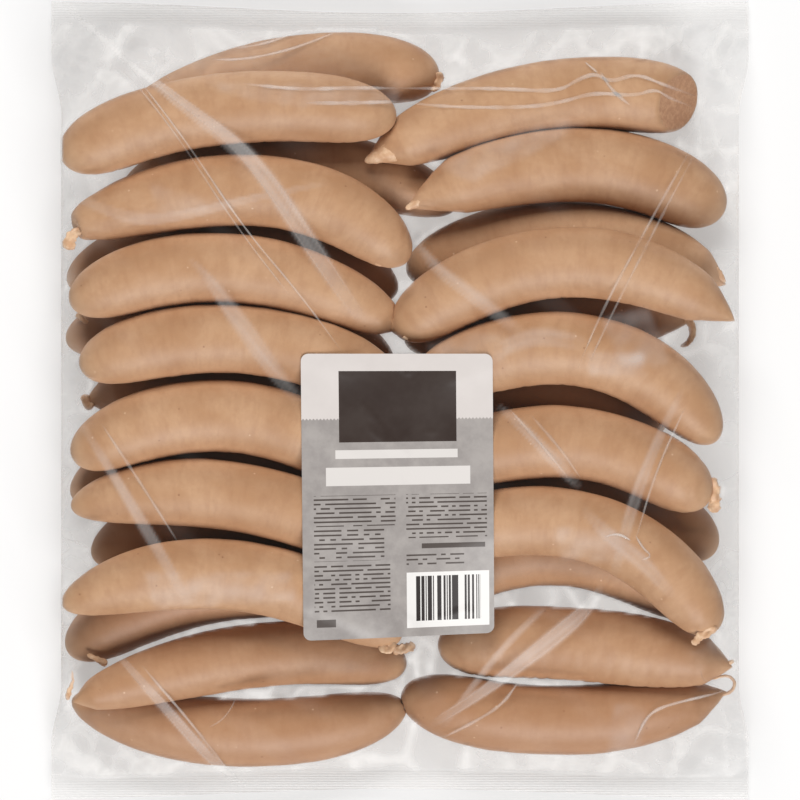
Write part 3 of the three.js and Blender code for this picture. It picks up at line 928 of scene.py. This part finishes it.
def film_sheets(pile):
    """Heights of the upper and the lower sheet, and how cloudy each place is."""
    x, y, from_end, edge = outline_grid(FILM_COLUMNS, FILM_ROWS)
    pile_top = surface_at(pile, x, y)
    top = widened(widened(pile_top)) + FILM_CLEARANCE
    bottom = -widened(widened(-surface_at(pile, x, y, UP))) - FILM_CLEARANCE
    upper = drape(top, True, FILM_SAG)
    lower = drape(bottom, False, 0)

    empty = smoothstep(0.25, 0.75, blurred((pile_top < 0).astype(float), 3))
    seal = 1 - smoothstep(SEAL_WIDTH - 2, SEAL_WIDTH, from_end)
    near_end = 1 - smoothstep(*END_MARGIN, from_end)
    free = smoothstep(0, LOOSE_HEIGHT, upper - top) * np.maximum(empty, near_end) * (1 - seal)
    inside = smoothstep(0, SMOOTH_RIM, WAIST_HALF_WIDTH - np.abs(x))
    patchy = smoothstep(-0.3, 0.7, waves(np.stack((x, y), axis=-1), PATCH_SIZE, 21))
    patchy = np.maximum(patchy, near_end * smoothstep(*SIDE_MARGIN, np.abs(x)))
    large_edge, large_tone = facets(x, y, *LARGE_FACETS)
    small_edge, small_tone = facets(x, y, *SMALL_FACETS)
    folds = blurred(LARGE_FOLD * large_edge + SMALL_FOLD * small_edge * patchy, 1)
    wave = end_waves(x, from_end)
    upper = np.maximum(upper + folds * free * inside, top) + wave
    lower = lower + wave

    rim = np.zeros(x.shape, bool)
    rim[0, :] = rim[-1, :] = rim[:, 0] = rim[:, -1] = True
    middle = (upper + lower) / 2
    upper = np.where(rim, middle, np.maximum(upper, middle + SEAL_GAP / 2))
    lower = np.where(rim, middle, np.maximum(np.minimum(lower, middle - SEAL_GAP / 2), FLOOR_GAP))
    # Cloud of the crumpled film: along facet edges partly real whitening, partly painted highlight; the
    # facet tones are painted light and shade.
    crumpled = LARGE_HAZE[0] * large_edge + LARGE_HAZE[1] * large_tone
    crumpled = crumpled + patchy * (SMALL_HAZE[0] * small_edge + SMALL_HAZE[1] * small_tone)
    return {
        "x": x, "y": y, "upper": upper, "lower": lower, "rim": rim, "seal": seal, "empty": empty,
        "haze": film_haze(x, y, empty, seal, crumpled),
    }


def build_film(sheets, materials):
    """One closed mesh: a fine upper sheet, and a lower one with half as many lines each way."""
    x, y, upper, lower = (sheets[key] for key in ("x", "y", "upper", "lower"))
    columns, rows = FILM_COLUMNS, FILM_ROWS
    index = np.arange(x.size).reshape(x.shape)
    faces = grid_faces(index)
    under = index[::2, ::2].copy()
    inner = (slice(2, -2, 2), slice(2, -2, 2))
    under[1:-1, 1:-1] = index.size + np.arange(under[1:-1, 1:-1].size).reshape(under[1:-1, 1:-1].shape)
    for i in range(columns // 2):
        for j in range(rows // 2):
            corners = [(i, j), (i, j + 1), (i + 1, j + 1), (i + 1, j)]
            face = []
            for here, there in zip(corners, corners[1:] + corners[:1]):
                face.append(int(under[here]))
                same_column = here[0] == there[0] and here[0] in (0, columns // 2)
                same_row = here[1] == there[1] and here[1] in (0, rows // 2)
                if same_column or same_row:
                    face.append(int(index[here[0] + there[0], here[1] + there[1]]))
            faces.append(tuple(face))
    points = np.concatenate((np.stack((x, y, upper), axis=-1).reshape(-1, 3),
                             np.stack((x[inner], y[inner], lower[inner]), axis=-1).reshape(-1, 3)))
    seal = np.r_[sheets["seal"].ravel(), sheets["seal"][inner].ravel()]
    haze = np.r_[sheets["haze"].ravel(), np.full(lower[inner].size, UNDERSIDE_HAZE)]
    sharp = np.r_[sheets["rim"].ravel(), np.zeros(lower[inner].size, bool)]
    sealed = [min(seal[k] for k in face) > 0.5 for face in faces]
    return add_mesh("film", points, faces, materials, {"haze": haze}, material_of=sealed, sharp=sharp)


def ridge(film_top, width, force, route):
    """A crease that stands up from the film: a thin closed fold that narrows to nothing at both ends."""
    path = smooth_path(route, RIDGE_STEP)
    share = np.linspace(0, 1, len(path))
    narrowing = np.sqrt(np.clip(1 - (2 * share - 1) ** 4, 0.01, 1))
    half = RIDGE_HALF_WIDTH * width * narrowing * (1 + noise(path, *RIDGE_WIDTH_NOISE))
    left = sideways(path) * half[:, None]
    ring = []
    for across, rise in ((1, 0), (0, 1), (-1, 0), (0, -1)):
        place = path + across * left
        height = surface_at(film_top, place[:, 0], place[:, 1])
        height = height + (RIDGE_RISE * half if rise > 0 else -RIDGE_SINK + 0.5 * RIDGE_SINK * rise)
        ring.append(np.column_stack((place, height)))
    rings = np.stack(ring, axis=1)
    points = np.concatenate((rings[:1].mean(axis=1), rings.reshape(-1, 3), rings[-1:].mean(axis=1)))
    # How cloudy the crease is drawn, fading at both ends: partly the film's own whitening, partly a
    # painted highlight of its glints.
    fade = np.clip(np.minimum(share, 1 - share) * 8, 0.15, 1)
    strength = 0.5 * force * (0.75 + noise(path, *RIDGE_FORCE_NOISE)) * fade
    return points, tube_faces(len(path), 4), np.r_[strength[0], np.repeat(strength, 4), strength[-1]]


def random_route(draw, start, angle, length):
    """A short crease that wanders from a point."""
    route = [np.array(start, float)]
    for _ in range(3):
        route.append(route[-1] + length / 3 * np.array((math.cos(angle), math.sin(angle))))
        angle += draw.normal() * 0.35
    return route


def kept_inside(route):
    """The route's points, moved in from the bag's rim where they would pass it."""
    x, y = np.array(route, float).T
    limit_x = np.where(np.abs(y) > HALF_LENGTH - FLARE_FULL, CORNER_HALF_WIDTH, WAIST_HALF_WIDTH) - 1.5
    limit_y = HALF_LENGTH - 8
    return np.column_stack((np.clip(x, -limit_x, limit_x), np.clip(y, -limit_y, limit_y)))


def build_creases(sheets, film_top, material):
    """All the ridges in the film, as one piece."""
    rows = list(CREASES)
    # Thin creases along the edges of the strongest bands, their cloud a painted highlight.
    for force, route in REFLECTION_BANDS:
        if force < EDGED_BAND:
            continue
        path = smooth_path(route, 10)
        for edge in (-1, 1):
            beside = path[:, :2] + edge * sideways(path) * path[:, 2:] * 0.4
            rows.append((BAND_EDGE_WIDTH, force * BAND_EDGE_SHARE, beside))
    draw = np.random.default_rng(17)
    empty = np.argwhere((sheets["empty"] > 0.6) & (sheets["seal"] < 0.1))
    for _ in range(LOOSE_CREASES):
        spot = tuple(empty[draw.integers(len(empty))])
        start = (sheets["x"][spot], sheets["y"][spot])
        width, strength = draw.uniform(*LOOSE_WIDTH), draw.uniform(*LOOSE_FORCE)
        angle, length = draw.uniform(0, 2 * math.pi), draw.uniform(*LOOSE_LENGTH)
        rows.append((width, strength, random_route(draw, start, angle, length)))
    parts, force = [], []
    for width, strength, route in rows:
        points, faces, numbers = ridge(film_top, width, strength, kept_inside(route))
        parts.append((points, faces))
        force.append(numbers)
    points, faces = joined(parts)
    return add_mesh("film_creases", points, faces, [material], {"force": np.concatenate(force)})


# The label

def label_grid():
    """Places over the label, its corners rounded, with where each lies across and up it."""
    steps = (np.linspace(0, 1, count + 1) for count in (LABEL_ACROSS, LABEL_DOWN))
    across, up = np.meshgrid(*steps, indexing="ij")
    upper_left, lower_left, lower_right, upper_right = np.array(LABEL_CORNERS, float)
    width = np.linalg.norm(upper_right - upper_left)
    height = np.linalg.norm(upper_left - lower_left)
    a, b = (across - 0.5) * width, (up - 0.5) * height
    straight_a, straight_b = width / 2 - LABEL_CORNER_RADIUS, height / 2 - LABEL_CORNER_RADIUS
    past_a, past_b = np.abs(a) - straight_a, np.abs(b) - straight_b
    corner = (past_a > 0) & (past_b > 0)
    reach = np.maximum(past_a, past_b) / np.maximum(np.hypot(past_a, past_b), 1e-9)
    a = np.where(corner, np.sign(a) * (straight_a + past_a * reach), a)
    b = np.where(corner, np.sign(b) * (straight_b + past_b * reach), b)
    across, up = a / width + 0.5, b / height + 0.5
    low = lower_left + across[..., None] * (lower_right - lower_left)
    high = upper_left + across[..., None] * (upper_right - upper_left)
    place = low + up[..., None] * (high - low)
    return place[..., 0], place[..., 1], across, up


def build_label(film_top, material):
    x, y, across, up = label_grid()
    under = surface_at(film_top, x, y) + LABEL_GAP
    over = under + LABEL_THICKNESS
    index = np.arange(x.size).reshape(x.shape)
    faces = grid_faces(index)
    faces += [tuple(k + x.size for k in reversed(face)) for face in faces]
    rim = [int(k) for k in (*index[:-1, 0], *index[-1, :-1], *index[:0:-1, -1], *index[0, :0:-1])]
    for here, there in zip(rim, rim[1:] + rim[:1]):
        faces.append((here, here + x.size, there + x.size, there))
    points = np.concatenate((np.stack((x, y, over), axis=-1).reshape(-1, 3),
                             np.stack((x, y, under), axis=-1).reshape(-1, 3)))
    print_side = np.r_[np.ones(x.size), np.zeros(x.size)]
    uvs = np.tile(np.stack((across, up), axis=-1).reshape(-1, 2), (2, 1))
    edge = np.zeros(2 * x.size, bool)
    edge[rim] = True
    edge[np.array(rim) + x.size] = True
    return add_mesh("label_sheet", points, faces, [material], {"print_side": print_side}, uvs, sharp=edge)


# Materials

class Graph:
    """A material's nodes, made one call at a time. An input is a value or another node's output."""

    def __init__(self, name):
        self.material = bpy.data.materials.new(name)
        self.material.use_nodes = True
        self.tree = self.material.node_tree
        self.tree.nodes.clear()
        self.output = self.tree.nodes.new("ShaderNodeOutputMaterial")

    def feed(self, socket, value):
        if isinstance(value, bpy.types.NodeSocket):
            self.tree.links.new(value, socket)
        else:
            socket.default_value = value

    def node(self, kind, inputs=None, **settings):
        made = self.tree.nodes.new(kind)
        for key, value in settings.items():
            setattr(made, key, value)
        for key, value in (inputs or {}).items():
            self.feed(made.inputs[key], value)
        return made

    def math(self, operation, *values, clamp=False):
        made = self.node("ShaderNodeMath", operation=operation, use_clamp=clamp)
        for socket, value in zip(made.inputs, values):
            self.feed(socket, value)
        return made.outputs[0]

    def attribute(self, name):
        return self.node("ShaderNodeAttribute", attribute_name=name).outputs["Fac"]

    def place(self):
        return self.node("ShaderNodeTexCoord").outputs["Object"]

    def ramp(self, value, low, high, to_low=0.0, to_high=1.0):
        made = self.node("ShaderNodeMapRange", {
            "Value": value, "From Min": low, "From Max": high, "To Min": to_low, "To Max": to_high,
        }, interpolation_type="SMOOTHSTEP")
        return made.outputs["Result"]

    def noise(self, vector, scale, detail=3.0, roughness=0.5):
        made = self.node("ShaderNodeTexNoise", {
            "Vector": vector, "Scale": scale, "Detail": detail, "Roughness": roughness,
        })
        return made.outputs["Fac"]

    def mix(self, factor, first, second):
        made = self.node("ShaderNodeMix", data_type="RGBA")
        self.feed(made.inputs["Factor"], factor)
        self.feed(made.inputs[6], first)
        self.feed(made.inputs[7], second)
        return made.outputs[2]

    def bump(self, height, strength, distance):
        return self.node("ShaderNodeBump", {
            "Height": height, "Strength": strength, "Distance": distance,
        }).outputs["Normal"]

    def principled(self, inputs):
        return self.node("ShaderNodeBsdfPrincipled", inputs).outputs["BSDF"]

    def finish(self, shader):
        self.tree.links.new(shader, self.output.inputs["Surface"])
        return self.material


def colour(red, green, blue):
    """A colour given as it shows on screen, from 0 to 255, as the shader's linear numbers."""
    return tuple((c / 255 / 12.92) if c <= 10 else ((c / 255 + 0.055) / 1.055) ** 2.4
                 for c in (red, green, blue)) + (1.0,)


def sausage_material():
    g = Graph("sausage_skin")
    place = g.place()
    grain = g.node("ShaderNodeAttribute", attribute_name="grain").outputs["Vector"]
    rings = g.noise(grain, 0.22, 3, 0.6)
    broad = g.noise(place, 42, 3, 0.6)
    mottle = g.noise(place, 170, 3, 0.6)
    base = g.mix(g.ramp(broad, 0.3, 0.7), colour(183, 140, 104), colour(200, 160, 125))
    base = g.mix(g.ramp(mottle, 0.35, 0.75, 0, 0.3), base, colour(174, 130, 96))
    base = g.mix(g.ramp(rings, 0.42, 0.72, 0, 0.24), base, colour(160, 114, 82))
    # Darker brown by the tone attribute: the sausages' own random spread, plus painted shade on low and
    # covered ones.
    base = g.mix(g.attribute("tone"), base, colour(160, 113, 80))
    base = g.mix(g.ramp(g.attribute("to_tip"), 12, 0, 0, 0.4), base, colour(208, 170, 134))
    cells = g.node("ShaderNodeTexVoronoi", {"Vector": place, "Scale": 95})
    lot = g.node("ShaderNodeSeparateXYZ", {"Vector": cells.outputs["Color"]}).outputs["X"]
    speck = g.mix(g.math("GREATER_THAN", lot, 0.35), colour(132, 86, 60), colour(226, 194, 164))
    base = g.mix(g.ramp(cells.outputs["Distance"], 0.07, 0.03, 0, 0.55), base, speck)
    uneven = g.math("ADD", g.math("MULTIPLY", rings, 0.7), g.math("MULTIPLY", mottle, 0.3))
    return g.finish(g.principled({
        "Base Color": base,
        "Roughness": 0.52,
        "Normal": g.bump(uneven, 0.25, 0.0009),
        "Specular IOR Level": 0.45,
    }))


def cut_material():
    g = Graph("sausage_cut")
    mince = g.noise(g.place(), 420, 4, 0.7)
    return g.finish(g.principled({
        "Base Color": g.mix(g.ramp(mince, 0.4, 0.65), colour(184, 136, 102), colour(202, 156, 121)),
        "Roughness": 0.6,
        "Normal": g.bump(mince, 0.3, 0.0007),
        "Specular IOR Level": 0.3,
    }))


def casing_material():
    g = Graph("loose_casing")
    fibre = g.noise(g.place(), 300, 2, 0.5)
    return g.finish(g.principled({
        "Base Color": g.mix(g.ramp(fibre, 0.35, 0.7), colour(206, 164, 128), colour(226, 192, 158)),
        "Roughness": 0.45,
        "Normal": g.bump(fibre, 0.2, 0.0004),
        "Specular IOR Level": 0.4,
    }))


def film_material(name, clouded_by, clearness, rim_share, roughness, shine, ribbed=False):
    """Clear film: mostly transparent, cloudier where it is creased and where it is seen edge-on, and
    where painted reflections and highlights are drawn into its cloud.
    """
    g = Graph(name)
    facing = g.node("ShaderNodeLayerWeight", {"Blend": 0.5}).outputs["Facing"]
    edge_on = g.math("MULTIPLY", g.math("POWER", facing, 3.0), rim_share)
    haze = g.math("ADD", g.attribute(clouded_by), edge_on, clamp=True)
    inputs = {"Base Color": (0.9, 0.875, 0.85, 1), "Roughness": roughness, "Specular IOR Level": shine}
    if ribbed:
        ribs = g.node("ShaderNodeTexWave", {"Vector": g.place(), "Scale": 240, "Distortion": 0.3},
                      bands_direction="Y").outputs["Fac"]
        haze = g.math("ADD", haze, g.math("MULTIPLY", ribs, 0.06), clamp=True)
        inputs["Normal"] = g.bump(ribs, 0.5, 0.0004)
    plastic = g.principled(inputs)
    tint = (clearness, clearness, clearness, 1)
    clear = g.node("ShaderNodeBsdfTransparent", {"Color": tint}).outputs["BSDF"]
    both = g.node("ShaderNodeMixShader", {"Fac": haze})
    g.feed(both.inputs[1], clear)
    g.feed(both.inputs[2], plastic)
    return g.finish(both.outputs["Shader"])


def label_material():
    g = Graph("label_print")
    parts = g.node("ShaderNodeSeparateXYZ", {"Vector": g.node("ShaderNodeUVMap").outputs["UV"]})
    across = g.math("MULTIPLY", parts.outputs["X"], LABEL_WIDTH)
    up = g.math("MULTIPLY", parts.outputs["Y"], LABEL_HEIGHT)
    place = g.place()

    def within(value, low, high):
        return g.math("MULTIPLY", g.math("GREATER_THAN", value, low), g.math("LESS_THAN", value, high))

    def rectangle(left, bottom, right, top):
        """A mask over part of the label, in millimetres from its lower left corner."""
        return g.math("MULTIPLY", within(across, left, right), within(up, bottom, top))

    def chance(column, row, seed):
        """A random number for each cell of a grid."""
        cell = g.node("ShaderNodeCombineXYZ", {"X": column, "Y": row, "Z": seed}).outputs["Vector"]
        return g.node("ShaderNodeTexWhiteNoise", {"Vector": cell}).outputs["Value"]

    def type_block(left, bottom, right, top, pitch, word, seed):
        """Rows of short bars in a rectangle, as a block of small type looks from a step away."""
        row = g.math("DIVIDE", up, pitch)
        column = g.math("FLOOR", g.math("DIVIDE", across, word))
        inked = within(g.math("FRACT", row), 0.3, 0.68)
        drawn = g.math("GREATER_THAN", chance(column, g.math("FLOOR", row), seed), 0.24)
        return g.math("MULTIPLY", g.math("MULTIPLY", inked, drawn), rectangle(left, bottom, right, top))

    def upright_bars(left, bottom, right, top, pitch, seed):
        column = g.math("FLOOR", g.math("DIVIDE", across, pitch))
        drawn = g.math("GREATER_THAN", chance(column, 0.0, seed), 0.47)
        return g.math("MULTIPLY", drawn, rectangle(left, bottom, right, top))

    pale = colour(207, 202, 198)
    ink = colour(78, 70, 66)
    paper = g.mix(g.noise(place, 60, 4, 0.6), colour(207, 200, 196), colour(194, 187, 183))
    clouds = g.ramp(g.noise(place, 90, 5, 0.65), 0.3, 0.7)
    field = g.mix(clouds, colour(144, 138, 135), colour(160, 154, 150))
    clouds = g.ramp(g.noise(place, 45, 4, 0.6), 0.3, 0.7)
    slate = g.mix(clouds, colour(52, 42, 38), colour(62, 53, 49))
    teeth = g.math("ADD", FIELD_TOP, g.math("PINGPONG", across, FIELD_TOOTH))
    face = g.mix(g.math("LESS_THAN", up, teeth), paper, field)
    face = g.mix(rectangle(*DARK_FIELD), face, slate)
    for bar in PALE_BARS:
        face = g.mix(rectangle(*bar), face, pale)
    for block in TYPE_BLOCKS:
        face = g.mix(type_block(*block), face, ink)
    for bar in DARK_BARS:
        face = g.mix(rectangle(*bar), face, ink)
    face = g.mix(rectangle(*WHITE_FIELD), face, colour(222, 219, 216))
    face = g.mix(upright_bars(*UPRIGHT_BARS), face, colour(50, 45, 44))
    face = g.mix(g.attribute("print_side"), colour(205, 201, 197), face)
    return g.finish(g.principled({
        "Base Color": face,
        "Roughness": 0.42,
        "Specular IOR Level": 0.3,
    }))


def floor_material():
    """A pale floor that glows a little, because the photo is bright where the bag is empty."""
    g = Graph("floor")
    tint = g.mix(g.noise(g.place(), 3, 2), (0.44, 0.44, 0.44, 1), (0.46, 0.46, 0.46, 1))
    return g.finish(g.principled({
        "Base Color": tint,
        "Roughness": 0.9,
        "Specular IOR Level": 0.2,
        "Emission Color": (1.0, 0.99, 0.98, 1),
        "Emission Strength": FLOOR_GLOW,
    }))


# Stage, light and camera

def add_floor():
    half = FLOOR_SIZE / 2 / MM
    z = -FLOOR_DROP / MM
    points = [(-half, -half, z), (half, -half, z), (half, half, z), (-half, half, z)]
    add_mesh("floor", points, [(0, 1, 2, 3)], [floor_material()])


def add_light(name, place, size, power, glints):
    """A soft square light that points at the middle of the bag, with or without glints on it."""
    data = bpy.data.lights.new(name, "AREA")
    data.size = size
    data.energy = power
    light = bpy.data.objects.new(name, data)
    light.location = place
    middle = Vector((0, 0, 0.03))
    light.rotation_euler = (middle - light.location).to_track_quat("-Z", "Y").to_euler()
    light.visible_camera = False
    light.visible_glossy = glints
    bpy.context.scene.collection.objects.link(light)


def add_camera():
    data = bpy.data.cameras.new("camera")
    data.lens = data.sensor_width * (CAMERA_HEIGHT - FRAME_HEIGHT) / FRAME_WIDTH
    data.clip_end = 50
    camera = bpy.data.objects.new("camera", data)
    camera.location = (0, 0, CAMERA_HEIGHT)
    bpy.context.scene.collection.objects.link(camera)
    bpy.context.scene.camera = camera


def add_world():
    world = bpy.data.worlds.new("soft_light")
    world.use_nodes = True
    world.node_tree.nodes["Background"].inputs["Color"].default_value = (1, 1, 1, 1)
    world.node_tree.nodes["Background"].inputs["Strength"].default_value = WORLD_STRENGTH
    bpy.context.scene.world = world
    bpy.context.scene.view_settings.view_transform = "Standard"


sausages = fill_bag()
skins = press_together(sausages, [make_skin(sausage, index) for index, sausage in enumerate(sausages)])
columns = build_sausages(sausages, skins, [sausage_material(), cut_material()])
tail_points, tail_faces = casing_tails(sausages)
tails = add_mesh("casing_ends", tail_points, tail_faces, [casing_material()])
whole_skins = [(skin, tube_faces(RINGS, SIDES)) for skin in skins]
pile_points, pile_faces = joined([*whole_skins, (tail_points, tail_faces)])
sheets = film_sheets(BVHTree.FromPolygons(pile_points.tolist(), pile_faces))
film = build_film(sheets, [
    film_material("clear_film", "haze", 0.94, 0.35, 0.35, 0.6),
    film_material("sealed_film", "haze", 0.94, 0.35, 0.35, 0.6, ribbed=True),
])
upper_points = np.stack([sheets[key] for key in ("x", "y", "upper")], axis=-1).reshape(-1, 3)
upper_faces = grid_faces(np.arange(sheets["x"].size).reshape(sheets["x"].shape))
film_top = BVHTree.FromPolygons(upper_points.tolist(), upper_faces)
creases = build_creases(sheets, film_top, film_material("creased_film", "force", 1, 0.05, 0.6, 0.2))
label = build_label(film_top, label_material())

pieces = {
    "sausage": (*columns, tails),
    "film": (film, creases),
    "label": (label,),
}
for slot, members in pieces.items():
    for piece in members:
        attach(piece, "root")
        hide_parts("label" if slot == "label" else "bag")

add_floor()
add_world()
for row in LIGHTS:
    add_light(*row)
add_camera()
